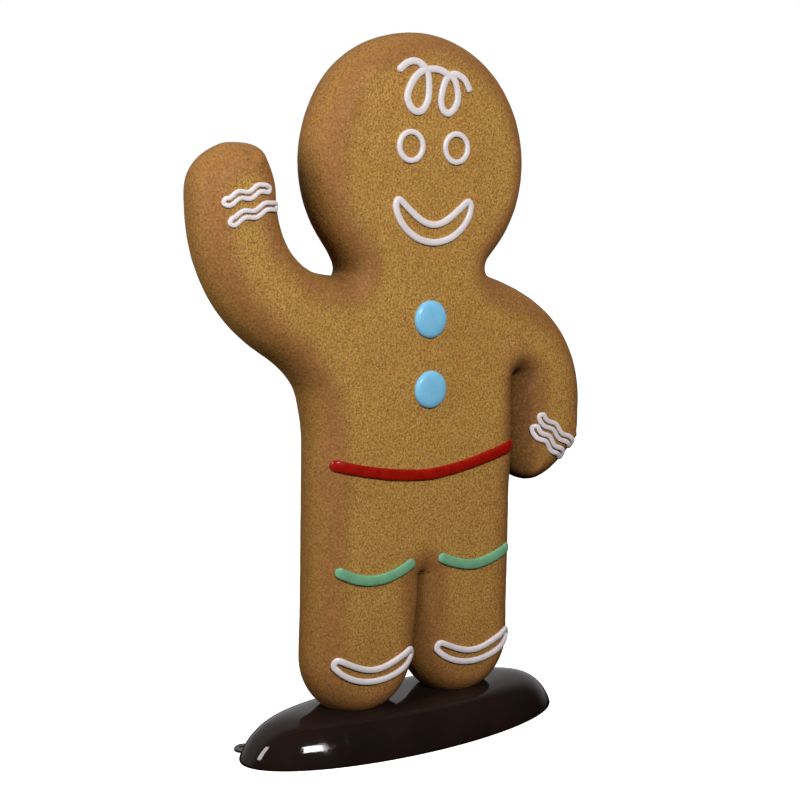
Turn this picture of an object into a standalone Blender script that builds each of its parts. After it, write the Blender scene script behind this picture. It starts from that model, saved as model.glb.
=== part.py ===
"""A standing gingerbread man display figure with piped-icing trim, on its own low domed base.

Frame: the origin is the centre of the base's underside. The figure faces -Y, +X is to the viewer's
right, +Z is up. All sizes are in metres. The outline of the figure is the zero line of a field that
joins a round head, a tapered trunk with two legs and two bent arms; everything else is placed from it.
"""

import math

import bmesh
import bpy
import numpy as np

# ---- driving sizes ----
HEIGHT = 1.800
THICKNESS = 0.170
EDGE = 0.065            # how far in from the outline the rounded edge reaches
GAP = 0.0004            # clearance between touching pieces

HEAD_RADIUS = 0.323
HEAD_Z = HEIGHT - HEAD_RADIUS
CROWN = (-0.046, 1.526, 0.2595)     # a slight swell of the head up and to the left: x, z and radius
NECK_BLEND = 0.050

TRUNK_HALF = 0.305      # half width at the chest
HIP_HALF = 0.310        # half width at the feet
TRUNK_TOP = 0.982
SHOULDER_ROUND = 0.14
TAPER_LOW, TAPER_HIGH = 0.10, 1.10

FOOT_Z = 0.078
FOOT_ROUND = 0.1525
LEG_GAP = 0.003         # half the gap between the legs
CROTCH_Z = 0.430
GROOVE_LOW = 0.20       # up from here the groove between the legs gets shallower
GROOVE_POWER = 1.2

# Each arm: shoulder, elbow pull and hand points of a curve, radius at shoulder and hand, blend.
RAISED_ARM = ((-0.317, 1.087), (-0.521, 1.167), (-0.521, 1.399), 0.119, 0.107, 0.188)
LOWERED_ARM = ((0.183, 1.120), (0.414, 0.998), (0.3445, 0.830), 0.086, 0.199, 0.016)
ARMPIT_Z = 0.925
ARM_GAP = 0.0055        # half the gap between trunk and lowered arm
HAND_CORNER = 0.092
PALM_PLACE = (-0.498, 1.405)        # the raised hand is a little square towards the head
PALM_HALF, PALM_CORNER, PALM_TILT = (0.054, 0.100), 0.038, 0.05

BASE_HALF_X = 0.4845
BASE_HALF_Y = 0.180
BASE_HEIGHT = 0.105
BASE_CROWN_X = 0.2365   # how far the dome draws in along X and Y at its top
BASE_CROWN_Y = 0.157
BASE_RISE = 1.35
BASE_FULLNESS = 3.8

BEAD_RISE = 0.007       # how far piped icing stands off the surface
EYE_X, EYE_Z, EYE_RADIUS = 0.069, 1.5165, 0.0346
BUTTON_RADIUS, BUTTON_RISE = 0.048, 0.013
# Start and end of the loop's middle line, half the gap between its two strokes, stroke width, phase.
WRISTS = {
    "raised_wrist_icing_upper": ((-0.5750, 1.3755), (-0.4705, 1.4075), 0.0080, 0.0113, 0.186),
    "raised_wrist_icing_lower": ((-0.5605, 1.3320), (-0.4455, 1.3695), 0.0080, 0.0115, 0.140),
    "lowered_wrist_icing_upper": ((0.3740, 0.8165), (0.4815, 0.7385), 0.0088, 0.0133, 0.272),
    "lowered_wrist_icing_lower": ((0.3570, 0.7850), (0.4490, 0.7095), 0.0089, 0.0137, 0.290),
}
# Centre x, half width, tip, upper and lower heights, fullness, tilt.
ANKLES = {
    "left": (-0.152, 0.119, 0.248, 0.211, 0.181, 1.4, -0.028),
    "right": (0.163, 0.119, 0.248, 0.213, 0.183, 1.4, 0.010),
}
# Centre x, half width, end and middle heights, bow, tilt.
KNEES = {
    "left": (-0.1525, 0.105, 0.472, 0.442, 2.0, -0.008),
    "right": (0.1585, 0.105, 0.474, 0.445, 1.75, 0.006),
}
BUTTONS = {"button_upper": (0.0, 1.0915), "button_lower": (0.004, 0.914)}

# ---- materials ----


def material(name, colour, roughness, metallic=0.0):
    made = bpy.data.materials.new(name)
    made.use_nodes = True
    shader = made.node_tree.nodes["Principled BSDF"]
    shader.inputs["Base Color"].default_value = (*colour, 1.0)
    shader.inputs["Roughness"].default_value = roughness
    shader.inputs["Metallic"].default_value = metallic
    return made


def clear_scene():
    for item in list(bpy.data.objects):
        bpy.data.objects.remove(item)


def add_mesh(name, points, faces, finish, helper=False):
    mesh = bpy.data.meshes.new(name)
    mesh.from_pydata([tuple(p) for p in points], [], faces)
    mesh.validate()
    work = bmesh.new()
    work.from_mesh(mesh)
    bmesh.ops.recalc_face_normals(work, faces=work.faces)
    work.to_mesh(mesh)
    work.free()
    mesh.shade_smooth()
    mesh.set_sharp_from_angle(angle=math.radians(40))
    mesh.materials.append(finish)
    made = bpy.data.objects.new(name, mesh)
    bpy.context.scene.collection.objects.link(made)
    if helper:
        made.hide_render = True
        made.display_type = "WIRE"
    return made


def boolean(piece, other, operation):
    cut = piece.modifiers.new(operation.lower() + "_" + other.name, "BOOLEAN")
    cut.operation = operation
    cut.solver = "EXACT"
    cut.object = other


# ---- the outline field: negative inside the figure, seen from the front ----


def soft_join(a, b, blend):
    near = np.maximum(blend - np.abs(a - b), 0.0) / blend
    return np.minimum(a, b) - near * near * blend / 4


def soft_cut(a, hole, blend):
    return -soft_join(-a, hole, blend)


def rounded_box(x, z, centre_x, low, high, half, corner):
    side = np.abs(x - centre_x) - half + corner
    end = np.abs(z - (low + high) / 2) - (high - low) / 2 + corner
    outside = np.hypot(np.maximum(side, 0.0), np.maximum(end, 0.0))
    return outside + np.minimum(np.maximum(side, end), 0.0) - corner


def quadratic(start, pull, end, count=40):
    t = np.linspace(0.0, 1.0, count)[:, None]
    return (1 - t) ** 2 * np.array(start) + 2 * t * (1 - t) * np.array(pull) + t * t * np.array(end)


def limb(x, z, spine, radius_start, radius_end):
    starts = spine[:-1]
    runs = spine[1:] - starts
    away_x = x[:, None] - starts[:, 0]
    away_z = z[:, None] - starts[:, 1]
    along = (away_x * runs[:, 0] + away_z * runs[:, 1]) / (runs ** 2).sum(axis=1)
    along = np.clip(along, 0.0, 1.0)
    radius = radius_start + (radius_end - radius_start) * (np.arange(len(runs)) + along) / len(runs)
    reach = np.hypot(away_x - along * runs[:, 0], away_z - along * runs[:, 1]) - radius
    return reach.min(axis=1)


def trunk_half_at(z):
    share = np.clip((z - TAPER_LOW) / (TAPER_HIGH - TAPER_LOW), 0.0, 1.0)
    return HIP_HALF + (TRUNK_HALF - HIP_HALF) * share


RAISED_SPINE = quadratic(*RAISED_ARM[:3])
LOWERED_SPINE = quadratic(*LOWERED_ARM[:3])
ARMPIT_X = TRUNK_HALF + 0.002 + ARM_GAP


def palm(x, z):
    away_x, away_z = x - PALM_PLACE[0], z - PALM_PLACE[1]
    across = away_x * math.cos(PALM_TILT) + away_z * math.sin(PALM_TILT)
    along = away_z * math.cos(PALM_TILT) - away_x * math.sin(PALM_TILT)
    return rounded_box(across, along, 0.0, -PALM_HALF[1], PALM_HALF[1], PALM_HALF[0], PALM_CORNER)


def field(x, z):
    """Roughly the signed distance to the figure's outline at each point (x, z)."""
    x = np.asarray(x, float)
    z = np.asarray(z, float)
    head = np.hypot(x, z - HEAD_Z) - HEAD_RADIUS
    head = soft_join(head, np.hypot(x - CROWN[0], z - CROWN[1]) - CROWN[2], 0.01)
    half = trunk_half_at(z)
    level = x * HIP_HALF / half
    low = CROTCH_Z - 0.05
    trunk = rounded_box(level, z, 0.0, low, TRUNK_TOP, HIP_HALF, SHOULDER_ROUND)
    hips = rounded_box(level, z, 0.0, low, 0.80, HIP_HALF, 0.002)
    chest = rounded_box(x, z, 0.0, 0.80, HEAD_Z - 0.20, 0.15, 0.05)
    leg_half = (HIP_HALF - LEG_GAP) / 2
    legs = rounded_box(np.abs(level), z, LEG_GAP + leg_half, FOOT_Z, 0.70, leg_half, FOOT_ROUND)
    figure = np.minimum(np.minimum(trunk, legs), np.minimum(hips, chest))
    figure = soft_join(figure, limb(x, z, RAISED_SPINE, *RAISED_ARM[3:5]), RAISED_ARM[5])
    figure = soft_join(figure, palm(x, z), 0.03)
    slot = limb(x, z, np.array([(ARMPIT_X, ARMPIT_Z), (ARMPIT_X + 0.006, 0.45)]), ARM_GAP, ARM_GAP)
    arm = soft_cut(limb(x, z, LOWERED_SPINE, *LOWERED_ARM[3:5]), slot, HAND_CORNER)
    figure = np.maximum(soft_join(figure, arm, LOWERED_ARM[5]), -slot)
    crotch = limb(x, z, np.array([(0.0, CROTCH_Z), (0.0, FOOT_Z + FOOT_ROUND)]), LEG_GAP, LEG_GAP)
    figure = np.maximum(figure, -crotch)
    return soft_join(figure, head, NECK_BLEND)


def outward(x, z, reach=1e-4):
    """Unit outward direction of the field at (x, z)."""
    xs = np.concatenate([x + reach, x - reach, x, x])
    zs = np.concatenate([z, z, z + reach, z - reach])
    right, left, up, down = np.split(field(xs, zs), 4)
    slope = np.stack([right - left, up - down], axis=1) / (2 * reach)
    return slope / np.linalg.norm(slope, axis=1)[:, None]


def onto_outline(points):
    for _ in range(3):
        away = outward(points[:, 0], points[:, 1])
        points = points - away * field(points[:, 0], points[:, 1])[:, None]
    return points


def trace_outline(step=0.002):
    """Walks once round the zero line of the field, from the top of the head, as points 2 mm apart."""
    here = onto_outline(np.array([[0.0, HEIGHT]]))
    start = here[0].copy()
    walked = [start]
    while True:
        away = outward(here[:, 0], here[:, 1])
        ahead = np.stack([-away[:, 1], away[:, 0]], axis=1)
        here = onto_outline(here + ahead * step)
        if len(walked) > 50 and np.linalg.norm(here[0] - start) < step:
            return np.array(walked)
        walked.append(here[0].copy())


LONGEST_STEP = 0.042
MOST_TURN = math.radians(15)


def space_out(fine):
    """Fewer points along the fine outline: close together on bends, further apart on straight runs."""
    ring = np.vstack([fine, fine[:1]])
    lengths = np.linalg.norm(np.diff(ring, axis=0), axis=1)
    away = outward(fine[:, 0], fine[:, 1])
    angle = np.unwrap(np.arctan2(away[:, 1], away[:, 0]))
    turn = np.abs(np.diff(np.append(angle, angle[0] + 2 * math.pi)))
    soft = np.convolve(np.tile(turn, 3), np.ones(9) / 9, "same")[len(turn):2 * len(turn)]
    need = np.maximum(lengths / LONGEST_STEP, soft / MOST_TURN)
    share = np.concatenate([[0.0], np.cumsum(need)])
    count = int(math.ceil(share[-1]))
    wanted = np.arange(count) * share[-1] / count
    spots = [np.interp(wanted, share, ring[:, axis]) for axis in (0, 1)]
    return onto_outline(np.stack(spots, axis=1))


def edge_reach(fine):
    """How far in the rounded edge reaches at each fine point: EDGE, but less at a tight corner."""
    away = outward(fine[:, 0], fine[:, 1])
    angle = np.unwrap(np.arctan2(away[:, 1], away[:, 0]))
    lengths = np.linalg.norm(np.roll(fine, -1, axis=0) - fine, axis=1)
    count = len(fine)
    window = np.ones(7) / 7
    turn = np.diff(np.append(angle, angle[0] + 2 * math.pi))
    bend = np.convolve(np.tile(turn / lengths, 3), window, "same")[count:2 * count]
    reach = np.minimum(EDGE, 0.80 / np.maximum(bend, 0.80 / EDGE))
    eased = np.tile(reach, 3)
    step = 0.5 * lengths.mean()
    for _ in range(2):
        for i in range(1, len(eased)):
            eased[i] = min(eased[i], eased[i - 1] + step)
        eased = eased[::-1].copy()
    return eased[count:2 * count]


FINE = trace_outline()
FINE_REACH = edge_reach(FINE)


def nearest_fine(points):
    gaps = np.linalg.norm(points[:, None, :] - FINE[None, :, :], axis=2)
    best = gaps.argmin(axis=1)
    return gaps[np.arange(len(points)), best], FINE[best], FINE_REACH[best]


def edge_power(outline):
    """How boxy the rounded edge is: 1 all round, more up the groove between the legs."""
    rise = np.clip((outline[:, 1] - GROOVE_LOW) / (CROTCH_Z - GROOVE_LOW), 0.0, 1.0)
    in_groove = (np.abs(outline[:, 0]) < 2 * LEG_GAP) & (outline[:, 1] < CROTCH_Z + 2 * LEG_GAP)
    return 1 + GROOVE_POWER * np.where(in_groove, rise * rise * (3 - 2 * rise), 0.0)


def front_y(points):
    """Y of the figure's front face over each point (x, z)."""
    inset, outline, reach = nearest_fine(np.asarray(points, float))
    share = np.clip(inset / reach, 0.0, 1.0) ** (1 / edge_power(outline))
    return -THICKNESS / 2 * np.sqrt(1 - (1 - share) ** 2)


def front_normal(points, step=0.002):
    points = np.asarray(points, float)
    side = np.array([step, 0.0])
    up = np.array([0.0, step])
    slope_x = (front_y(points + side) - front_y(points - side)) / (2 * step)
    slope_z = (front_y(points + up) - front_y(points - up)) / (2 * step)
    normal = np.stack([slope_x, -np.ones(len(points)), slope_z], axis=1)
    return normal / np.linalg.norm(normal, axis=1)[:, None]


# ---- solids ----


def figure_mesh(name, finish, grow=0.0, bands=4, helper=False):
    """The whole figure: rings of the outline, drawn in towards the flat front and back faces."""
    spots = space_out(FINE)
    away = outward(spots[:, 0], spots[:, 1])
    reach = nearest_fine(spots)[2] + grow
    power = edge_power(spots)
    depth = THICKNESS / 2 + grow
    points = []
    for angle in np.linspace(-math.pi / 2, math.pi / 2, 2 * bands + 1):
        ring = spots + away * (grow - reach * (1 - math.cos(angle)) ** power)[:, None]
        points += [(x, depth * math.sin(angle), z) for x, z in ring]
    count = len(spots)
    faces = [tuple(range(count)), tuple(range(2 * bands * count, (2 * bands + 1) * count))[::-1]]
    for band in range(2 * bands):
        low, high = band * count, (band + 1) * count
        for i in range(count):
            j = (i + 1) % count
            faces.append((low + i, low + j, high + j, high + i))
    return add_mesh(name, points, faces, finish, helper)


def smooth_path(knots, closed, spacing):
    """A Catmull-Rom curve through the knots, read off at an even spacing."""
    knots = np.asarray(knots, float)
    if closed:
        padded = np.vstack([knots[-1:], knots, knots[:2]])
    else:
        padded = np.vstack([2 * knots[0] - knots[1], knots, 2 * knots[-1] - knots[-2]])
    t = np.linspace(0.0, 1.0, 12, endpoint=False)[:, None]
    pieces = []
    for a, b, c, d in zip(padded, padded[1:], padded[2:], padded[3:]):
        cubic = (2 * a - 5 * b + 4 * c - d) * t ** 2 + (3 * b - a - 3 * c + d) * t ** 3
        pieces.append(0.5 * (2 * b + (c - a) * t + cubic))
    fine = np.vstack(pieces + [knots[:1] if closed else knots[-1:]])
    run = np.concatenate([[0.0], np.cumsum(np.linalg.norm(np.diff(fine, axis=0), axis=1))])
    count = max(int(round(run[-1] / spacing)), 3)
    wanted = np.linspace(0.0, run[-1], count + (not closed), endpoint=not closed)
    return np.stack([np.interp(wanted, run, fine[:, axis]) for axis in (0, 1)], axis=1)


def bead(name, path, width, finish, closed=False, rise=BEAD_RISE, sides=6, helper=False):
    """A piped line: an oval tube that follows path (x, z) over the front face, half sunk into it."""
    path = np.asarray(path, float)
    if closed:
        ahead = np.roll(path, -1, axis=0) - np.roll(path, 1, axis=0)
        scale = np.ones(len(path))
    else:
        ahead = np.gradient(path, axis=0)
        ahead /= np.linalg.norm(ahead, axis=1)[:, None]
        caps = np.array([0.55, 0.88])
        before = path[0] - ahead[0] * caps[::-1, None] * width / 2
        after = path[-1] + ahead[-1] * caps[:, None] * width / 2
        path = np.vstack([before, path, after])
        ahead = np.vstack([ahead[:1]] * 2 + [ahead] + [ahead[-1:]] * 2)
        ends = np.sqrt(1 - caps ** 2)
        scale = np.concatenate([ends[::-1], np.ones(len(path) - 4), ends])
    ahead = ahead / np.linalg.norm(ahead, axis=1)[:, None]
    centre = np.stack([path[:, 0], front_y(path), path[:, 1]], axis=1)
    normal = front_normal(path)
    run = np.gradient(centre, axis=0) if not closed else np.roll(centre, -1, 0) - np.roll(centre, 1, 0)
    run /= np.linalg.norm(run, axis=1)[:, None]
    side = np.cross(normal, run)
    side /= np.linalg.norm(side, axis=1)[:, None]
    points = []
    for place, across, up, size in zip(centre, side, normal, scale):
        for k in range(sides):
            angle = 2 * math.pi * k / sides
            lift = rise if math.sin(angle) > 0 else 0.5 * rise
            push = across * math.cos(angle) * width / 2 + up * math.sin(angle) * lift
            points.append(place + size * push)
    rings = len(path)
    faces = []
    for i in range(rings if closed else rings - 1):
        j = (i + 1) % rings
        for k in range(sides):
            m = (k + 1) % sides
            faces.append((i * sides + k, i * sides + m, j * sides + m, j * sides + k))
    if not closed:
        faces.append(tuple(range(sides)))
        faces.append(tuple(range((rings - 1) * sides, rings * sides))[::-1])
    return add_mesh(name, points, faces, finish, helper)


def ring_path(centre_x, centre_z, radius, count=20):
    turn = np.linspace(0.0, 2 * math.pi, count, endpoint=False)
    return np.stack([centre_x + radius * np.cos(turn), centre_z + radius * np.sin(turn)], axis=1)


def crescent_path(centre_x, half, tip_z, upper_z, lower_z, spacing, fullness, tilt=0.0):
    """A closed smile outline: a bowed upper line and an oval lower line meeting in two tips."""
    bow = 2.1
    across = np.linspace(-1.0, 1.0, 9)
    lift = (1 - np.cos(bow * across)) / (1 - math.cos(bow))
    upper = np.stack([centre_x + 0.92 * half * across, upper_z + (tip_z - upper_z) * lift], axis=1)
    swing = np.linspace(math.radians(2), math.radians(178), 11)
    depth = tip_z - 0.012 - lower_z
    sag = np.sin(swing) ** fullness
    lower = np.stack([centre_x + half * np.cos(swing), tip_z - 0.012 - depth * sag], axis=1)
    knots = np.vstack([upper, lower])
    knots[:, 1] += tilt * (knots[:, 0] - centre_x)
    return smooth_path(knots, True, spacing)


def wave_loop_path(start, end, half_gap, wave, phase, spacing):
    """A narrow closed loop along a wavy line from start to end, with round ends."""
    start = np.asarray(start, float)
    end = np.asarray(end, float)
    t = np.linspace(0.0, 1.0, 13)[:, None]
    along = (end - start) / np.linalg.norm(end - start)
    across = np.array([-along[1], along[0]])
    middle = start + (end - start) * t + across * wave * np.sin(4 * math.pi * (t - phase))
    round_end = np.array([[0.0, 0.0]]) + along * half_gap * 0.9
    path = np.vstack([middle + across * half_gap, middle[-1:] + round_end,
                      middle[::-1] - across * half_gap, middle[:1] - round_end])
    return smooth_path(path, True, spacing)


def sag_path(centre_x, half, end_z, low_z, power, spacing, tilt=0.0):
    across = np.linspace(-1.0, 1.0, 15)
    rise = (end_z - low_z) * np.abs(across) ** power + tilt * half * across
    return smooth_path(np.stack([centre_x + half * across, low_z + rise], axis=1), False, spacing)


def button(name, place, finish):
    """A low dome with a flat top, half sunk into the front face."""
    work = bmesh.new()
    bmesh.ops.create_uvsphere(work, u_segments=24, v_segments=8, radius=1.0)
    for vert in work.verts:
        x, y, z = vert.co
        flat = math.copysign((1 - (x * x + y * y) ** 2) ** 0.4 if abs(z) > 0.01 else 0.0, z)
        rise = -THICKNESS / 2 + flat * BUTTON_RISE
        vert.co = (place[0] + x * BUTTON_RADIUS, rise, place[1] + y * BUTTON_RADIUS)
    points = [tuple(v.co) for v in work.verts]
    faces = [tuple(v.index for v in f.verts) for f in work.faces]
    work.free()
    return add_mesh(name, points, faces, finish)


def base_mesh(name, finish, segments=56, levels=8):
    """A low loaf-shaped dome with an oval footprint, flat underneath."""
    turn = np.linspace(0.0, 2 * math.pi, segments, endpoint=False)
    points = []
    heights = 1 - np.linspace(1.0, 0.0, levels) ** 1.7
    for share in heights:
        full = (1 - share ** BASE_RISE) ** (1 / BASE_FULLNESS)
        half_x = BASE_HALF_X - BASE_CROWN_X * (1 - full)
        half_y = BASE_HALF_Y - BASE_CROWN_Y * (1 - full)
        points += [(half_x * math.cos(a), half_y * math.sin(a), share * BASE_HEIGHT) for a in turn]
    faces = [tuple(range(segments))[::-1], tuple(range(len(points) - segments, len(points)))]
    for level in range(levels - 1):
        for i in range(segments):
            j = (i + 1) % segments
            low, high = level * segments, (level + 1) * segments
            faces.append((low + i, low + j, high + j, high + i))
    return add_mesh(name, points, faces, finish)


LUG_WIDTH, LUG_OUT, LUG_THICK, LUG_HOLE = 0.052, 0.030, 0.006, 0.0065
LUG_TURN = math.radians(152)    # where the left lug leaves the base, round its oval footprint


def fixing_lug(name, mirror, finish):
    """A flat steel tab with one hole that leaves the base near the floor, for bolting the figure down."""
    foot = np.array([BASE_HALF_X * math.cos(LUG_TURN), BASE_HALF_Y * math.sin(LUG_TURN)])
    away = np.array([math.cos(LUG_TURN) / BASE_HALF_X, math.sin(LUG_TURN) / BASE_HALF_Y])
    away /= np.linalg.norm(away)
    across = np.array([-away[1], away[0]])
    half = LUG_WIDTH / 2
    swing = np.linspace(-math.pi / 2, math.pi / 2, 13)
    eye = LUG_OUT - half * 0.8
    round_end = [away * (eye + half * 0.8 * math.cos(a)) + across * half * math.sin(a) for a in swing]
    tail = [across * half - away * 0.012, -across * half - away * 0.012]
    outline = [foot + p for p in round_end + tail]
    hole_turn = np.linspace(0.0, 2 * math.pi, 16, endpoint=False)
    hole_at = foot + away * (eye + 0.004)
    hole = [hole_at + LUG_HOLE * np.array([math.cos(a), math.sin(a)]) for a in hole_turn]
    sign = -1.0 if mirror else 1.0
    work = bmesh.new()
    edges = []
    for loop in (outline, hole):
        verts = [work.verts.new((sign * p[0], p[1], 0.002)) for p in loop]
        edges += [work.edges.new((a, b)) for a, b in zip(verts, verts[1:] + verts[:1])]
    plate = bmesh.ops.triangle_fill(work, use_beauty=True, edges=edges)["geom"]
    sheet = [item for item in plate if isinstance(item, bmesh.types.BMFace)]
    raised = bmesh.ops.extrude_face_region(work, geom=sheet, use_keep_orig=True)["geom"]
    for item in raised:
        if isinstance(item, bmesh.types.BMVert):
            item.co.z += LUG_THICK
    work.verts.index_update()
    points = [tuple(v.co) for v in work.verts]
    faces = [tuple(v.index for v in f.verts) for f in work.faces]
    work.free()
    return add_mesh(name, points, faces, finish)


HAIR_WIDTH = 0.0185
HAIR_KNOTS = (
    (-0.104, 1.700), (-0.086, 1.714), (-0.063, 1.7205), (-0.042, 1.7135), (-0.026, 1.698),
    (-0.0195, 1.668), (-0.021, 1.633), (-0.034, 1.608), (-0.052, 1.600), (-0.072, 1.610),
    (-0.0825, 1.634), (-0.075, 1.659), (-0.060, 1.682), (-0.040, 1.698), (-0.012, 1.7045),
    (0.012, 1.704), (0.036, 1.695), (0.056, 1.684), (0.067, 1.660), (0.069, 1.634),
    (0.058, 1.611), (0.040, 1.6005), (0.023, 1.611), (0.018, 1.634), (0.0235, 1.661),
    (0.034, 1.684), (0.050, 1.695), (0.070, 1.695), (0.090, 1.684), (0.104, 1.663),
)
HAIR_SPLITS = (8, 21)   # the lowest knot of each loop


def build():
    clear_scene()
    biscuit = material("gingerbread_finish", (0.36, 0.19, 0.045), 0.65)
    white = material("white_icing", (0.74, 0.72, 0.78), 0.25)
    blue = material("blue_icing", (0.13, 0.42, 0.68), 0.25)
    red = material("red_icing", (0.38, 0.006, 0.004), 0.25)
    green = material("green_icing", (0.13, 0.39, 0.22), 0.3)
    chocolate = material("base_gloss", (0.012, 0.006, 0.005), 0.15)
    steel = material("lug_steel", (0.12, 0.12, 0.12), 0.4, 1.0)

    figure_mesh("gingerbread_body", biscuit)
    cutter = figure_mesh("figure_clearance", biscuit, grow=GAP, helper=True)

    beads = []
    for side, sign in (("left", -1), ("right", 1)):
        ring = ring_path(sign * EYE_X, EYE_Z, EYE_RADIUS)
        beads.append(bead("eye_" + side, ring, 0.0145, white, closed=True))
    mouth = crescent_path(0.0035, 0.115, 1.386, 1.3265, 1.283, 0.017, 1.15, -0.01)
    beads.append(bead("mouth", mouth, 0.0175, white, closed=True))
    for side, shape in ANKLES.items():
        ankle = crescent_path(*shape[:5], 0.018, *shape[5:])
        beads.append(bead("ankle_icing_" + side, ankle, 0.0160, white, closed=True))
    for side, shape in KNEES.items():
        knee = sag_path(*shape[:5], 0.016, *shape[5:])
        beads.append(bead("knee_line_" + side, knee, 0.0275, green, sides=8))
    belt = sag_path(0.0, 0.276, 0.750, 0.6975, 1.65, 0.024, 0.005)
    beads.append(bead("belt", belt, 0.0290, red, sides=8))
    for name, (start, end, half_gap, width, phase) in WRISTS.items():
        loop = wave_loop_path(start, end, half_gap, 0.0041, phase, 0.011)
        beads.append(bead(name, loop, width, white, closed=True, rise=0.006))
    for name, place in BUTTONS.items():
        beads.append(button(name, place, blue))

    first, last = HAIR_SPLITS
    stretches = (HAIR_KNOTS[:first + 1], HAIR_KNOTS[first:last + 1], HAIR_KNOTS[last:])
    strokes = []
    for number, knots in enumerate(stretches):
        name = "hair" if number == 0 else "hair_stroke_%d" % number
        width = HAIR_WIDTH * (0.96 if number == 1 else 1.0)
        rise = BEAD_RISE * (0.94 if number == 1 else 1.0)
        path = smooth_path(knots, False, 0.014)
        strokes.append(bead(name, path, width, white, rise=rise, helper=number > 0))
    for stroke in strokes[1:]:
        boolean(strokes[0], stroke, "UNION")
    beads.append(strokes[0])
    for piece in beads:
        boolean(piece, cutter, "DIFFERENCE")

    base = base_mesh("base", chocolate)
    boolean(base, cutter, "DIFFERENCE")
    swell = base_mesh("base_clearance", chocolate)
    swell.hide_render = True
    swell.display_type = "WIRE"
    swell.scale = (1 + GAP / BASE_HALF_X, 1 + GAP / BASE_HALF_Y, 1.0)
    for side, mirror in (("left", False), ("right", True)):
        lug = fixing_lug("fixing_lug_" + side, mirror, steel)
        boolean(lug, swell, "DIFFERENCE")


build()
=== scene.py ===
"""Looks of the gingerbread man display figure: a stippled, sprayed skin, glossy raised icing and a gloss base.

Everything is in metres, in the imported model's own frame: the figure faces -Y and stands on z = 0. The skin is laid
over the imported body's own outline and flat front, and the icing follows that skin.
"""

import math

import bmesh
import bpy
import numpy as np
from mathutils import Matrix, Vector, noise
from mathutils.geometry import delaunay_2d_cdt


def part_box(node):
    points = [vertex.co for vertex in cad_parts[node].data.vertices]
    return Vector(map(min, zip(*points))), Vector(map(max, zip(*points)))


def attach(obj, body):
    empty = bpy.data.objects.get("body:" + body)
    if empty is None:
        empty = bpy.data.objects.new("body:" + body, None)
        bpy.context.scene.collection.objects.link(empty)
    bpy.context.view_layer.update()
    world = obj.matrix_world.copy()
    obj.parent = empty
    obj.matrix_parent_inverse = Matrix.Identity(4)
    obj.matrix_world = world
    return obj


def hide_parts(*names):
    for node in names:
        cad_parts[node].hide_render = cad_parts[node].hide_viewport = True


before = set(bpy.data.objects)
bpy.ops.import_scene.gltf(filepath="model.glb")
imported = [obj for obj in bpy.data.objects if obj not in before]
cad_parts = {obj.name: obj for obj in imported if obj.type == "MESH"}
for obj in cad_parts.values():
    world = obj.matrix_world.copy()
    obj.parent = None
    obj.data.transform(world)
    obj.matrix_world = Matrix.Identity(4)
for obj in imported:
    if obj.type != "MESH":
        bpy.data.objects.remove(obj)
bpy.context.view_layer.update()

# ---- the figure's outline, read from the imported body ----

BODY_LOW, BODY_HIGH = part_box("gingerbread_body")
DEPTH = (BODY_HIGH.y - BODY_LOW.y) / 2
SKIN_STEP = 0.006       # spacing of the skin's points
SKIN_BANDS = 36         # bands round the rounded edge, from the flat front to the flat back
GROOVE_LOW, GROOVE_HIGH, GROOVE_HALF, GROOVE_POWER = 0.20, 0.430, 0.006, 1.2    # the groove between the legs


def plane_loop(y, faces_in_plane):
    """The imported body's closed loop of points (x, z) at depth y, from its top towards -X."""
    work = bmesh.new()
    work.from_mesh(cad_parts["gingerbread_body"].data)
    bmesh.ops.remove_doubles(work, verts=work.verts, dist=1e-5)
    links = {}
    for edge in work.edges:
        ends = [v for v in edge.verts if abs(v.co.y - y) < 1e-5]
        flat = sum(all(abs(v.co.y - y) < 1e-5 for v in face.verts) for face in edge.link_faces)
        if len(ends) == 2 and flat == faces_in_plane:
            for a, b in (ends, ends[::-1]):
                links.setdefault(a, []).append(b)
    top = max(links, key=lambda v: v.co.z)
    loop = [top, min(links[top], key=lambda v: v.co.x)]
    while loop[-1] != top:
        loop.append(next(v for v in links[loop[-1]] if v != loop[-2]))
    points = np.array([(v.co.x, v.co.z) for v in loop[:-1]])
    work.free()
    return points


def closed_spline(knots, along, total, wanted):
    """A smooth closed curve through the knots, which lie at the distances along, read off at the wanted ones."""
    steps = np.diff(np.append(along, total))
    before = np.roll(steps, 1)
    count = len(knots)
    spots = np.arange(count)
    system = np.zeros((count, count))
    system[spots, spots - 1] = before
    system[spots, spots] = 2 * (before + steps)
    system[spots, (spots + 1) % count] = steps
    slope = (np.roll(knots, -1, axis=0) - knots) / steps[:, None]
    bend = np.linalg.solve(system, 6 * (slope - np.roll(slope, 1, axis=0)))
    i = np.searchsorted(along, wanted, side="right") - 1
    j = (i + 1) % count
    width = steps[i][:, None]
    b = (wanted - along[i])[:, None] / width
    a = 1 - b
    return a * knots[i] + b * knots[j] + ((a ** 3 - a) * bend[i] + (b ** 3 - b) * bend[j]) * width ** 2 / 6


def edge_power(loop, groove_half):
    """How boxy the rounded edge is: 1 all round, more up the groove between the legs."""
    rise = np.clip((loop[:, 1] - GROOVE_LOW) / (GROOVE_HIGH - GROOVE_LOW), 0.0, 1.0)
    in_groove = (np.abs(loop[:, 0]) < groove_half) & (loop[:, 1] < GROOVE_HIGH + groove_half)
    return 1 + GROOVE_POWER * np.where(in_groove, rise * rise * (3 - 2 * rise), 0.0)


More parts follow.
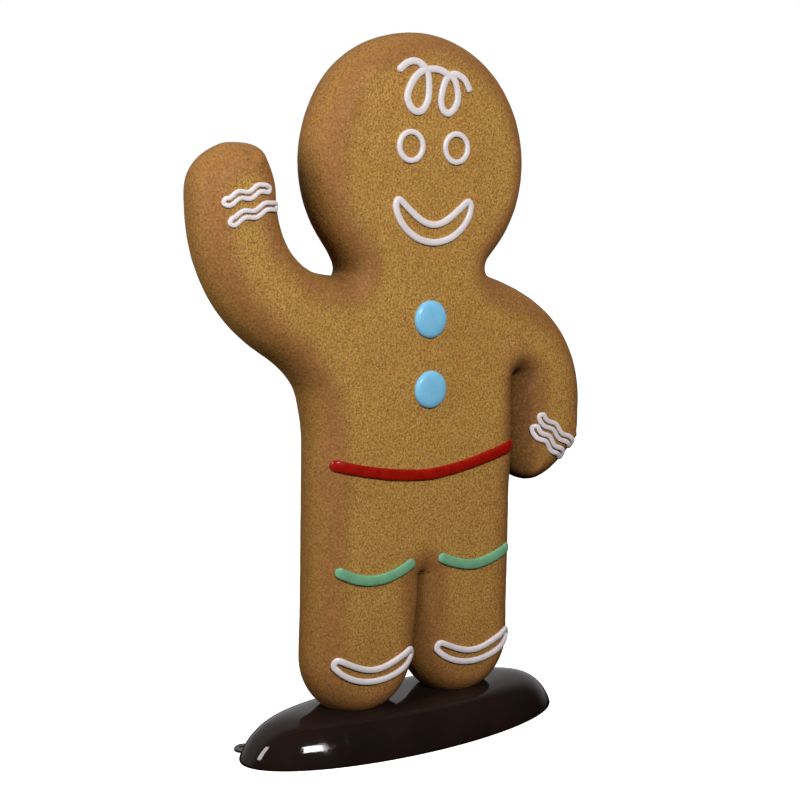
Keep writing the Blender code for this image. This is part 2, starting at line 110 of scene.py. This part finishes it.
def figure_loops():
    """The outline and the rim of the flat front, as two dense loops whose points belong together."""
    rim = plane_loop(BODY_LOW.y, 1)
    halfway = plane_loop(-DEPTH * math.sqrt(0.5), 0)    # the ring at 45 degrees round the edge
    share = (1 - math.sqrt(0.5)) ** edge_power(halfway, 6 * GROOVE_HALF)[:, None]
    outline = (halfway - rim * share) / (1 - share)
    steps = [np.linalg.norm(np.roll(loop, -1, axis=0) - loop, axis=1) for loop in (outline, rim)]
    along = np.concatenate([[0.0], np.cumsum(np.maximum(*steps))])
    wanted = np.linspace(0.0, along[-1], int(along[-1] / SKIN_STEP), endpoint=False)
    ring = np.vstack([rim, rim[:1]])
    inner = np.stack([np.interp(wanted, along, ring[:, axis]) for axis in (0, 1)], axis=1)
    return closed_spline(outline, along[:-1], along[-1], wanted), inner


OUTLINE, RIM = figure_loops()
REACH = np.linalg.norm(RIM - OUTLINE, axis=1)
OUTWARD = (OUTLINE - RIM) / REACH[:, None]
POWER = edge_power(OUTLINE, GROOVE_HALF)


def nearest_outline(points):
    """Index of the nearest outline point, and the distance to it, for each point (x, z)."""
    best = np.empty(len(points), int)
    for start in range(0, len(points), 4000):
        part = points[start:start + 4000]
        gaps = ((part[:, None, :] - OUTLINE[None, :, :]) ** 2).sum(axis=2)
        best[start:start + 4000] = gaps.argmin(axis=1)
    return best, np.linalg.norm(points - OUTLINE[best], axis=1)


def front_y(points):
    """Y of the skin's front over each point (x, z)."""
    best, inset = nearest_outline(np.asarray(points, float))
    share = np.clip(inset / REACH[best], 0.0, 1.0) ** (1 / POWER[best])
    return -DEPTH * np.sqrt(1 - (1 - share) ** 2)


def front_normal(points, step=0.003):
    points = np.asarray(points, float)
    side, up = np.array([step, 0.0]), np.array([0.0, step])
    slope_x = (front_y(points + side) - front_y(points - side)) / (2 * step)
    slope_z = (front_y(points + up) - front_y(points - up)) / (2 * step)
    normal = np.stack([slope_x, -np.ones(len(points)), slope_z], axis=1)
    return normal / np.linalg.norm(normal, axis=1)[:, None]


# ---- pieces ----


def piece(name, points, faces, node, finish, sharp=None):
    """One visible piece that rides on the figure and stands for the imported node."""
    mesh = bpy.data.meshes.new(name)
    mesh.from_pydata([tuple(p) for p in points], [], faces)
    work = bmesh.new()
    work.from_mesh(mesh)
    bmesh.ops.recalc_face_normals(work, faces=work.faces)
    work.to_mesh(mesh)
    work.free()
    mesh.shade_smooth()
    if sharp:
        mesh.set_sharp_from_angle(angle=math.radians(sharp))
    mesh.materials.append(finish)
    made = bpy.data.objects.new(name, mesh)
    bpy.context.scene.collection.objects.link(made)
    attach(made, "root")
    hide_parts(node)
    return made


def attribute(made, name, values):
    made.data.attributes.new(name, "FLOAT", "POINT").data.foreach_set("value", np.asarray(values, np.float32))


def inside_rim(points):
    """Which points (x, z) lie inside the rim of the flat front."""
    ahead = np.roll(RIM, -1, axis=0)
    inside = np.zeros(len(points), bool)
    for (ax, az), (bx, bz) in zip(RIM, ahead):
        if az != bz:
            crosses = (az > points[:, 1]) != (bz > points[:, 1])
            inside ^= crosses & (points[:, 0] < ax + (points[:, 1] - az) * (bx - ax) / (bz - az))
    return inside


def flat_grid(step=0.0075):
    """Points (x, z) in a three-way grid over the flat front, a little inside its rim."""
    low, high = RIM.min(axis=0), RIM.max(axis=0)
    rows = np.arange(low[1], high[1], step * math.sqrt(0.75))
    spots = []
    for number, z in enumerate(rows):
        xs = np.arange(low[0] + (number % 2) * step / 2, high[0], step)
        spots.append(np.stack([xs, np.full(len(xs), z)], axis=1))
    spots = np.vstack(spots)
    spots = spots[inside_rim(spots)]
    best, inset = nearest_outline(spots)
    return spots[inset > REACH[best] + 0.6 * step]


def crevice_share():
    """How deep in a fold each outline point lies: 1 in the neck, armpit and between the legs, 0 in the open."""
    away = OUTLINE[None, :, :] - OUTLINE[:, None, :]
    gaps = np.linalg.norm(away, axis=2)
    facing = (OUTWARD @ OUTWARD.T < -0.2) & ((away * OUTWARD[:, None, :]).sum(axis=2) > 0.3 * gaps)
    nearest = np.where(facing, gaps, 9.0).min(axis=1)
    share = np.exp(-(nearest / 0.075) ** 1.5)
    window = np.hanning(17) / np.hanning(17).sum()
    return np.convolve(np.tile(share, 3), window, "same")[len(share):2 * len(share)]


def lumps(point, scale, seed):
    return noise.noise(Vector(point) * scale + Vector((seed, 2.7 * seed, 5.1 * seed)))


def gingerbread_skin(finish):
    """The whole figure as one dense closed skin, slightly uneven like a hand-laid moulding."""
    angles = np.linspace(-math.pi / 2, math.pi / 2, SKIN_BANDS + 1)
    count = len(OUTLINE)
    rings = []
    for angle in angles:
        ring = OUTLINE + (RIM - OUTLINE) * ((1 - math.cos(angle)) ** POWER)[:, None]
        rings.append(np.stack([ring[:, 0], np.full(count, DEPTH * math.sin(angle)), ring[:, 1]], axis=1))
    faces = []
    for band in range(SKIN_BANDS):
        low, high = band * count, (band + 1) * count
        for i in range(count):
            j = (i + 1) % count
            faces.append((low + i, low + j, high + j, high + i))

    grid = flat_grid()
    flat = [Vector(p) for p in np.vstack([RIM, grid])]
    edges = [(i, (i + 1) % count) for i in range(count)]
    _, _, triangles, origins, _, _ = delaunay_2d_cdt(flat, edges, [], 1, 1e-7)
    source = [group[0] for group in origins]
    ring_points = len(rings) * count
    caps = []
    for first, start in ((0, ring_points), (SKIN_BANDS * count, ring_points + len(grid))):
        for triangle in triangles:
            corners = [source[v] for v in triangle]
            faces.append(tuple(first + c if c < count else start + c - count for c in corners))
        y = -DEPTH if first == 0 else DEPTH
        caps.append(np.stack([grid[:, 0], np.full(len(grid), y), grid[:, 1]], axis=1))
    points = np.vstack(rings + caps)

    made = piece("gingerbread_skin", points, faces, "gingerbread_body", finish)
    best, inset = nearest_outline(points[:, [0, 2]])
    # Painted shade: this mask darkens the colour in the neck, armpits and between the legs. It is partly the sprayed
    # brown paint there and partly painted shade where the light misses the creases.
    fold_spray_and_shade = crevice_share() * np.where(OUTLINE[:, 1] < GROOVE_HIGH + 0.1, 0.48, 1.0)
    spread = np.zeros(len(points))
    for start in range(0, len(points), 4000):
        part = points[start:start + 4000, [0, 2]]
        gaps = np.linalg.norm(part[:, None, :] - OUTLINE[None, ::3, :], axis=2)
        spread[start:start + 4000] = (fold_spray_and_shade[::3] * np.exp(-(gaps / 0.055) ** 2)).max(axis=1)
    attribute(made, "inset", inset)
    attribute(made, "fold_spray_and_shade", spread)

    normals = np.array([v.vector for v in made.data.vertex_normals])
    depth = [0.5 + 0.35 * lumps(p, 11.0, 1.3) + 0.25 * lumps(p, 34.0, 4.1) for p in points]
    moved = points - normals * (0.0014 * np.clip(depth, 0.0, 1.0))[:, None]
    made.data.vertices.foreach_set("co", moved.astype(np.float32).ravel())
    made.data.update()
    return made


def smooth_path(knots, closed, spacing):
    """A Catmull-Rom curve through the knots, read off at an even spacing."""
    knots = np.asarray(knots, float)
    if closed:
        padded = np.vstack([knots[-1:], knots, knots[:2]])
    else:
        padded = np.vstack([2 * knots[0] - knots[1], knots, 2 * knots[-1] - knots[-2]])
    t = np.linspace(0.0, 1.0, 12, endpoint=False)[:, None]
    pieces = []
    for a, b, c, d in zip(padded, padded[1:], padded[2:], padded[3:]):
        cubic = (2 * a - 5 * b + 4 * c - d) * t ** 2 + (3 * b - a - 3 * c + d) * t ** 3
        pieces.append(0.5 * (2 * b + (c - a) * t + cubic))
    fine = np.vstack(pieces + [knots[:1] if closed else knots[-1:]])
    run = np.concatenate([[0.0], np.cumsum(np.linalg.norm(np.diff(fine, axis=0), axis=1))])
    count = max(int(round(run[-1] / spacing)), 3)
    wanted = np.linspace(0.0, run[-1], count + (not closed), endpoint=not closed)
    return np.stack([np.interp(wanted, run, fine[:, axis]) for axis in (0, 1)], axis=1)


BEAD_RISE = 0.007
BEAD_STEP = 0.003
FLAT_TOP = 0.4          # below 1, how flat the top of a piped line is


def bead_mesh(path, width, closed, rise, seed, sides=16, uneven=0.025):
    """Points and faces of a piped line: a flat-topped oval tube over path (x, z), a little uneven in width."""
    path = np.asarray(path, float)
    if closed:
        ahead = np.roll(path, -1, axis=0) - np.roll(path, 1, axis=0)
        scale = np.ones(len(path))
    else:
        ahead = np.gradient(path, axis=0)
        ahead /= np.linalg.norm(ahead, axis=1)[:, None]
        caps = np.sin(np.linspace(0.15, 0.985, 6) * math.pi / 2)
        before = path[0] - ahead[0] * caps[::-1, None] * width / 2
        after = path[-1] + ahead[-1] * caps[:, None] * width / 2
        path = np.vstack([before, path, after])
        ahead = np.vstack([ahead[:1]] * len(caps) + [ahead] + [ahead[-1:]] * len(caps))
        ends = np.sqrt(1 - caps ** 2)
        scale = np.concatenate([ends[::-1], np.ones(len(path) - 2 * len(caps)), ends])
    ahead = ahead / np.linalg.norm(ahead, axis=1)[:, None]
    wobble = np.array([1 + uneven * lumps((x, 0.0, z), 24.0, seed) * 1.6 for x, z in path])
    centre = np.stack([path[:, 0], front_y(path), path[:, 1]], axis=1)
    normal = front_normal(path)
    run = np.roll(centre, -1, 0) - np.roll(centre, 1, 0) if closed else np.gradient(centre, axis=0)
    run /= np.linalg.norm(run, axis=1)[:, None]
    side = np.cross(normal, run)
    side /= np.linalg.norm(side, axis=1)[:, None]
    points = []
    for place, across, up, size, wide in zip(centre, side, normal, scale, wobble):
        for k in range(sides):
            angle = 2 * math.pi * k / sides
            over = max(math.sin(angle), 0.0) ** FLAT_TOP
            lift = rise * over if over else 0.5 * rise * math.sin(angle)
            points.append(place + size * (across * math.cos(angle) * wide * width / 2 + up * lift))
    rings = len(path)
    faces = []
    for i in range(rings if closed else rings - 1):
        j = (i + 1) % rings
        for k in range(sides):
            m = (k + 1) % sides
            faces.append((i * sides + k, i * sides + m, j * sides + m, j * sides + k))
    if not closed:
        faces.append(tuple(range(sides)))
        faces.append(tuple(range((rings - 1) * sides, rings * sides))[::-1])
    return points, faces


def bead(node, path, width, finish, closed=False, rise=BEAD_RISE):
    seed = sum(map(ord, node)) % 97
    points, faces = bead_mesh(path, width, closed, rise, seed)
    return piece(node + "_piped", points, faces, node, finish)


def ring_path(centre_x, centre_z, radius, count=72):
    turn = np.linspace(0.0, 2 * math.pi, count, endpoint=False)
    return np.stack([centre_x + radius * np.cos(turn), centre_z + radius * np.sin(turn)], axis=1)


def crescent_path(centre_x, half, tip_z, upper_z, lower_z, fullness, tilt):
    """A closed smile outline: a bowed upper line and an oval lower line meeting in two tips."""
    bow = 2.1
    across = np.linspace(-1.0, 1.0, 9)
    lift = (1 - np.cos(bow * across)) / (1 - math.cos(bow))
    upper = np.stack([centre_x + 0.92 * half * across, upper_z + (tip_z - upper_z) * lift], axis=1)
    swing = np.linspace(math.radians(2), math.radians(178), 11)
    depth = tip_z - 0.012 - lower_z
    sag = np.sin(swing) ** fullness
    lower = np.stack([centre_x + half * np.cos(swing), tip_z - 0.012 - depth * sag], axis=1)
    knots = np.vstack([upper, lower])
    knots[:, 1] += tilt * (knots[:, 0] - centre_x)
    return smooth_path(knots, True, BEAD_STEP)


def wave_loop_path(start, end, half_gap, wave, phase):
    """A narrow closed loop along a wavy line from start to end, with round ends."""
    start = np.asarray(start, float)
    end = np.asarray(end, float)
    t = np.linspace(0.0, 1.0, 13)[:, None]
    along = (end - start) / np.linalg.norm(end - start)
    across = np.array([-along[1], along[0]])
    middle = start + (end - start) * t + across * wave * np.sin(4 * math.pi * (t - phase))
    round_end = np.array([[0.0, 0.0]]) + along * half_gap * 0.9
    path = np.vstack([middle + across * half_gap, middle[-1:] + round_end,
                      middle[::-1] - across * half_gap, middle[:1] - round_end])
    return smooth_path(path, True, BEAD_STEP)


def sag_path(centre_x, half, end_z, low_z, power, tilt):
    across = np.linspace(-1.0, 1.0, 15)
    rise = (end_z - low_z) * np.abs(across) ** power + tilt * half * across
    return smooth_path(np.stack([centre_x + half * across, low_z + rise], axis=1), False, BEAD_STEP)


def button(node, finish):
    """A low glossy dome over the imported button, with a soft shoulder at its foot."""
    low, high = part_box(node)
    centre_x, centre_z = (low.x + high.x) / 2, (low.z + high.z) / 2
    radius = (high.x - low.x) / 2
    rise = -DEPTH - low.y
    segments, levels = 72, 14
    spread = [math.cos(a) for a in np.linspace(0.0, 0.5 * math.pi, levels)[:-1]]
    profile = [(across, (1 - across ** 4) ** 0.4) for across in spread]
    points = [(centre_x, -DEPTH - rise, centre_z)]
    for across, up in [(1.0, -0.4)] + profile:
        for a in np.linspace(0.0, 2 * math.pi, segments, endpoint=False):
            points.append((centre_x + radius * across * math.cos(a), -DEPTH - rise * up,
                           centre_z + radius * across * math.sin(a)))
    faces = [tuple(range(1, 1 + segments))]
    for level in range(levels - 1):
        first, second = 1 + level * segments, 1 + (level + 1) * segments
        for i in range(segments):
            j = (i + 1) % segments
            faces.append((first + i, first + j, second + j, second + i))
    last = 1 + (levels - 1) * segments
    faces += [(0, last + i, last + (i + 1) % segments) for i in range(segments)]
    return piece(node + "_dome", points, faces, node, finish)


BASE_CROWN = (0.2365, 0.157)
BASE_RISE = 1.35
BASE_FULLNESS = 3.8


def base_shell(finish, segments=240, levels=56):
    """A low loaf-shaped dome with an oval footprint and a small rounded foot at the floor."""
    low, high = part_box("base")
    foot = 0.003
    turn = np.linspace(0.0, 2 * math.pi, segments, endpoint=False)
    heights = 1 - np.linspace(1.0, 0.0, levels) ** 2.0
    points = []
    for share in heights:
        full = (1 - share ** BASE_RISE) ** (1 / BASE_FULLNESS)
        tuck = foot * max(0.0, 1 - share * high.z / foot) ** 2 * 0.6
        half_x = high.x - BASE_CROWN[0] * (1 - full) - tuck
        half_y = high.y - BASE_CROWN[1] * (1 - full) - tuck
        points += [(half_x * math.cos(a), half_y * math.sin(a), share * high.z) for a in turn]
    faces = [tuple(range(segments))[::-1], tuple(range(len(points) - segments, len(points)))]
    for level in range(levels - 1):
        first, second = level * segments, (level + 1) * segments
        for i in range(segments):
            j = (i + 1) % segments
            faces.append((first + i, first + j, second + j, second + i))
    return piece("base_shell", points, faces, "base", finish, sharp=50)


# ---- materials ----


class Finish:
    """A Principled material with short calls for the nodes that feed it."""

    def __init__(self, name, roughness, coat=0.0, metallic=0.0):
        self.material = bpy.data.materials.new(name)
        self.material.use_nodes = True
        self.tree = self.material.node_tree
        self.shader = self.tree.nodes["Principled BSDF"]
        self.set("Roughness", roughness)
        self.set("Coat Weight", coat)
        self.set("Coat Roughness", 0.08)
        self.set("Metallic", metallic)
        self.place = self.add("ShaderNodeTexCoord").outputs["Object"]

    def add(self, kind, **inputs):
        node = self.tree.nodes.new(kind)
        for key, value in inputs.items():
            node.inputs[key.replace("_", " ")].default_value = value
        return node

    def set(self, socket, value):
        if isinstance(value, bpy.types.NodeSocket):
            self.tree.links.new(value, self.shader.inputs[socket])
        else:
            self.shader.inputs[socket].default_value = value

    def link(self, source, target):
        self.tree.links.new(source, target)

    def noise(self, scale, detail=2.0, roughness=0.5):
        node = self.add("ShaderNodeTexNoise", Scale=scale, Detail=detail, Roughness=roughness)
        self.link(self.place, node.inputs["Vector"])
        return node.outputs["Fac"]

    def attribute(self, name):
        node = self.tree.nodes.new("ShaderNodeAttribute")
        node.attribute_name = name
        return node.outputs["Fac"]

    def spread(self, value, low, high, to_low=0.0, to_high=1.0):
        node = self.add("ShaderNodeMapRange", From_Min=low, From_Max=high, To_Min=to_low, To_Max=to_high)
        node.interpolation_type = "SMOOTHSTEP"
        self.link(value, node.inputs["Value"])
        return node.outputs["Result"]

    def maths(self, operation, a, b):
        node = self.tree.nodes.new("ShaderNodeMath")
        node.operation = operation
        for socket, value in zip(node.inputs, (a, b)):
            if isinstance(value, bpy.types.NodeSocket):
                self.link(value, socket)
            else:
                socket.default_value = value
        return node.outputs["Value"]

    def mix(self, share, a, b, blend="MIX"):
        node = self.tree.nodes.new("ShaderNodeMix")
        node.data_type = "RGBA"
        node.blend_type = blend
        for socket, value in ((node.inputs["Factor"], share), (node.inputs[6], a), (node.inputs[7], b)):
            if isinstance(value, bpy.types.NodeSocket):
                self.link(value, socket)
            elif isinstance(value, tuple):
                socket.default_value = (*value, 1.0)
            else:
                socket.default_value = value
        return node.outputs[2]

    def bump(self, height, distance, strength=1.0, under=None):
        node = self.add("ShaderNodeBump", Distance=distance, Strength=strength)
        self.link(height, node.inputs["Height"])
        if under is not None:
            self.link(under, node.inputs["Normal"])
        return node.outputs["Normal"]


def gingerbread():
    """Sprayed golden brown crumb: fine dark and pale stipple, redder edges, dark brown in the creases that is partly
    sprayed paint and partly painted shade, and painted shade darkening it towards the feet.
    """
    made = Finish("gingerbread_finish", 0.6)
    inset, fold_spray_and_shade = made.attribute("inset"), made.attribute("fold_spray_and_shade")
    patches = made.noise(7.0, 3.0)
    blotches = made.noise(38.0, 2.0)
    grain = made.noise(165.0, 2.0, 0.7)
    rusty = made.noise(110.0, 2.0, 0.6)
    flecks = made.noise(205.0, 1.0, 0.5)
    pale = made.noise(200.0, 1.0, 0.5)
    height = made.add("ShaderNodeSeparateXYZ")
    made.link(made.place, height.inputs["Vector"])
    # Painted shade: the colour darkens towards the feet for the light falling off low down. Part of it is the
    # sprayed brown at the feet.
    low = made.spread(height.outputs["Z"], 0.08, 0.40, 0.95, 0.0)

    colour = made.mix(made.spread(patches, 0.35, 0.65), (0.355, 0.190, 0.034), (0.405, 0.232, 0.044))
    colour = made.mix(made.spread(blotches, 0.38, 0.66), colour, (0.410, 0.215, 0.046))
    # Painted shade towards the feet, partly sprayed brown.
    colour = made.mix(low, colour, (0.265, 0.118, 0.026))
    ragged = made.maths("ADD", inset, made.maths("MULTIPLY", made.maths("SUBTRACT", patches, 0.5), 0.05))
    outer = made.spread(ragged, 0.004, 0.034, 0.62, 1.0)
    edge = made.maths("MULTIPLY", outer, made.spread(ragged, 0.040, 0.100, 1.0, 0.0))
    colour = made.mix(made.maths("MULTIPLY", edge, 0.92), colour, (0.232, 0.094, 0.026))
    # Painted shade: dark brown in the creases, partly sprayed paint and partly painted shade.
    colour = made.mix(made.maths("MULTIPLY", made.spread(fold_spray_and_shade, 0.08, 1.00), 0.85), colour, (0.100, 0.042, 0.013))
    colour = made.mix(made.spread(rusty, 0.50, 0.66, 0.0, 0.60), colour, (0.35, 0.140, 0.030))
    colour = made.mix(made.spread(grain, 0.62, 0.34, 0.0, 0.78), colour, (0.175, 0.074, 0.016))
    colour = made.mix(made.spread(flecks, 0.42, 0.28, 0.0, 0.60), colour, (0.095, 0.038, 0.011))
    shown = made.spread(ragged, 0.030, 0.100, 0.10, 0.42)
    colour = made.mix(made.maths("MULTIPLY", made.spread(pale, 0.52, 0.68), shown), colour, (0.54, 0.33, 0.115))
    made.set("Base Color", colour)
    made.set("Roughness", made.spread(grain, 0.3, 0.7, 0.78, 0.6))
    made.set("Specular IOR Level", 0.2)
    coarse = made.bump(made.noise(95.0, 2.0), 0.0012, 0.6)
    made.set("Normal", made.bump(grain, 0.0012, 0.8, coarse))
    return made.material


def icing(name, colour, deeper):
    """Gloss paint over a hand-laid bead: a touch of colour drift and a faint brushed waviness."""
    made = Finish(name, 0.3, coat=0.08)
    made.set("Specular IOR Level", 0.22)
    drift = made.noise(38.0, 2.0)
    made.set("Base Color", made.mix(made.spread(drift, 0.35, 0.7), colour, deeper))
    made.set("Roughness", made.spread(made.noise(120.0), 0.3, 0.7, 0.2, 0.32))
    made.set("Normal", made.bump(made.noise(70.0, 2.0), 0.0008, 0.5))
    return made.material


def base_gloss():
    """Near-black brown gel coat with a faint orange peel and a few dull scuffs."""
    made = Finish("base_gloss", 0.12)
    made.set("Specular IOR Level", 0.27)
    drift = made.noise(6.0, 3.0)
    made.set("Base Color", made.mix(made.spread(drift, 0.3, 0.7), (0.0085, 0.0048, 0.0038), (0.012, 0.0066, 0.0052)))
    made.set("Roughness", made.spread(made.noise(24.0, 4.0, 0.6), 0.45, 0.75, 0.06, 0.2))
    made.set("Normal", made.bump(made.noise(45.0, 2.0), 0.0004, 0.35))
    return made.material


def lug_steel():
    made = Finish("lug_steel", 0.45, metallic=1.0)
    wear = made.noise(160.0, 4.0, 0.6)
    made.set("Base Color", made.mix(made.spread(wear, 0.4, 0.65), (0.10, 0.095, 0.09), (0.20, 0.18, 0.165)))
    made.set("Roughness", made.spread(wear, 0.35, 0.7, 0.35, 0.6))
    made.set("Normal", made.bump(wear, 0.0003, 0.5))
    return made.material


# ---- the figure ----

HAIR_WIDTH = 0.0185
HAIR_KNOTS = (
    (-0.104, 1.700), (-0.086, 1.714), (-0.063, 1.7205), (-0.042, 1.7135), (-0.026, 1.698),
    (-0.0195, 1.668), (-0.021, 1.633), (-0.034, 1.608), (-0.052, 1.600), (-0.072, 1.610),
    (-0.0825, 1.634), (-0.075, 1.659), (-0.060, 1.682), (-0.040, 1.698), (-0.012, 1.7045),
    (0.012, 1.704), (0.036, 1.695), (0.056, 1.684), (0.067, 1.660), (0.069, 1.634),
    (0.058, 1.611), (0.040, 1.6005), (0.023, 1.611), (0.018, 1.634), (0.0235, 1.661),
    (0.034, 1.684), (0.050, 1.695), (0.070, 1.695), (0.090, 1.684), (0.104, 1.663),
)
# Start and end of the loop's middle line, half the gap between its two strokes, stroke width, phase.
WRISTS = {
    "raised_wrist_icing_upper": ((-0.5750, 1.3755), (-0.4705, 1.4075), 0.0080, 0.0113, 0.186),
    "raised_wrist_icing_lower": ((-0.5605, 1.3320), (-0.4455, 1.3695), 0.0080, 0.0115, 0.140),
    "lowered_wrist_icing_upper": ((0.3740, 0.8165), (0.4815, 0.7385), 0.0088, 0.0133, 0.272),
    "lowered_wrist_icing_lower": ((0.3570, 0.7850), (0.4490, 0.7095), 0.0089, 0.0137, 0.290),
}
# Centre x, half width, tip, upper and lower heights, fullness, tilt.
ANKLES = {
    "left": (-0.152, 0.119, 0.248, 0.211, 0.181, 1.4, -0.028),
    "right": (0.163, 0.119, 0.248, 0.213, 0.183, 1.4, 0.010),
}
# Centre x, half width, end and middle heights, bow, tilt.
KNEES = {
    "left": (-0.1525, 0.105, 0.472, 0.442, 2.0, -0.008),
    "right": (0.1585, 0.105, 0.474, 0.445, 1.75, 0.006),
}


def dress():
    gingerbread_skin(gingerbread())
    white = icing("white_icing", (0.60, 0.54, 0.545), (0.55, 0.50, 0.505))
    blue = icing("blue_icing", (0.175, 0.43, 0.62), (0.155, 0.40, 0.59))
    red = icing("red_icing", (0.27, 0.006, 0.002), (0.22, 0.004, 0.002))
    green = icing("green_icing", (0.145, 0.33, 0.185), (0.125, 0.29, 0.165))

    for side, sign in (("left", -1), ("right", 1)):
        eye = ring_path(sign * 0.069, 1.5165, 0.0346)
        bead("eye_" + side, eye, 0.0145, white, closed=True)
        ankle = crescent_path(*ANKLES[side])
        bead("ankle_icing_" + side, ankle, 0.0160, white, closed=True)
        bead("knee_line_" + side, sag_path(*KNEES[side]), 0.0275, green)
    mouth = crescent_path(0.0035, 0.115, 1.386, 1.3265, 1.283, 1.15, -0.01)
    bead("mouth", mouth, 0.0175, white, closed=True)
    bead("belt", sag_path(0.004, 0.272, 0.746, 0.6975, 1.65, 0.020), 0.0290, red)
    bead("hair", smooth_path(HAIR_KNOTS, False, BEAD_STEP), HAIR_WIDTH, white)
    for node, (start, end, half_gap, width, phase) in WRISTS.items():
        loop = wave_loop_path(start, end, half_gap, 0.0041, phase)
        bead(node, loop, width, white, closed=True, rise=0.006)
    for node in ("button_upper", "button_lower"):
        button(node, blue)
    base_shell(base_gloss())
    steel = lug_steel()
    for node in ("fixing_lug_left", "fixing_lug_right"):
        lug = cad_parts[node]
        lug.data.materials.clear()
        lug.data.materials.append(steel)
        soften = lug.modifiers.new("soften", "BEVEL")
        soften.width = 0.0006
        soften.segments = 2
        soften.limit_method = "ANGLE"


# ---- floor, light and camera ----

CAMERA_PLACE = (-2.1415, -3.0227, 1.362)
CAMERA_TURN = math.radians(-34.946)
CAMERA_DOWN = math.radians(7.454)
CAMERA_ROLL = math.radians(0.944)
# Where the studio's surroundings brighten, by direction: from, to and brightness there.
CEILING_FADE = (0.12, 0.85, 0.74)
HORIZON_FADE = (-0.20, 0.05, 1.00)
BACKDROP_FADE = (-0.10, 0.40, 0.62)


def area_light(name, place, aim, size, power, colour=(1.0, 1.0, 1.0)):
    data = bpy.data.lights.new(name, "AREA")
    data.shape = "RECTANGLE"
    data.size, data.size_y = size
    data.energy = power
    data.color = colour
    made = bpy.data.objects.new(name, data)
    made.location = place
    made.rotation_euler = (Vector(aim) - Vector(place)).to_track_quat("-Z", "Y").to_euler()
    bpy.context.scene.collection.objects.link(made)


def studio():
    mesh = bpy.data.meshes.new("floor")
    half = 30.0
    mesh.from_pydata([(-half, -half, 0), (half, -half, 0), (half, half, 0), (-half, half, 0)], [], [(0, 1, 2, 3)])
    floor = bpy.data.objects.new("floor", mesh)
    pale = Finish("studio_floor", 0.9)
    pale.set("Base Color", (0.90, 0.90, 0.90, 1.0))
    pale.set("Specular IOR Level", 0.1)
    pale.set("Emission Color", (1.0, 1.0, 1.0, 1.0))
    pale.set("Emission Strength", 0.8)
    mesh.materials.append(pale.material)
    bpy.context.scene.collection.objects.link(floor)
    floor.visible_diffuse = False
    floor.visible_glossy = False

    world = bpy.data.worlds.new("studio")
    bpy.context.scene.world = world
    world.use_nodes = True
    tree = world.node_tree
    direction = tree.nodes.new("ShaderNodeTexCoord").outputs["Generated"]
    split = tree.nodes.new("ShaderNodeSeparateXYZ")
    tree.links.new(direction, split.inputs["Vector"])

    def fade(axis, low, high, bright):
        ramp = tree.nodes.new("ShaderNodeMapRange")
        ramp.interpolation_type = "SMOOTHSTEP"
        for name, value in (("From Min", low), ("From Max", high), ("To Max", bright)):
            ramp.inputs[name].default_value = value
        tree.links.new(split.outputs[axis], ramp.inputs["Value"])
        return ramp.outputs["Result"]

    def join(operation, one, two):
        node = tree.nodes.new("ShaderNodeMath")
        node.operation = operation
        for socket, value in zip(node.inputs, (one, two)):
            tree.links.new(value, socket)
        return node.outputs["Value"]

    rays = tree.nodes.new("ShaderNodeLightPath").outputs
    backdrop = join("MULTIPLY", fade("Y", *BACKDROP_FADE), fade("Z", *HORIZON_FADE))
    mirrored = tree.nodes.new("ShaderNodeMix")
    tree.links.new(rays["Is Glossy Ray"], mirrored.inputs["Factor"])
    tree.links.new(fade("Z", *CEILING_FADE), mirrored.inputs["A"])
    tree.links.new(backdrop, mirrored.inputs["B"])
    seen = tree.nodes.new("ShaderNodeMix")
    tree.links.new(rays["Is Camera Ray"], seen.inputs["Factor"])
    tree.links.new(mirrored.outputs["Result"], seen.inputs["A"])
    seen.inputs["B"].default_value = 1.0
    tree.links.new(seen.outputs["Result"], tree.nodes["Background"].inputs["Strength"])
    tree.nodes["Background"].inputs["Color"].default_value = (1.0, 1.0, 1.0, 1.0)

    area_light("key_box", (-1.0, -3.4, 2.8), (0.0, 0.0, 1.1), (0.9, 0.9), 156.0)
    area_light("side_box", (-2.6, -0.3, 1.7), (0.0, 0.0, 0.8), (0.45, 1.3), 36.0)

    data = bpy.data.cameras.new("camera")
    data.sensor_width = 36.0
    data.lens = 65.38
    camera = bpy.data.objects.new("camera", data)
    camera.location = CAMERA_PLACE
    turn = Matrix.Rotation(CAMERA_TURN, 3, "Z") @ Matrix.Rotation(math.pi / 2 - CAMERA_DOWN, 3, "X")
    camera.rotation_euler = (turn @ Matrix.Rotation(CAMERA_ROLL, 3, "Z")).to_euler()
    bpy.context.scene.collection.objects.link(camera)
    bpy.context.scene.camera = camera
    bpy.context.scene.view_settings.view_transform = "Standard"


dress()
studio()
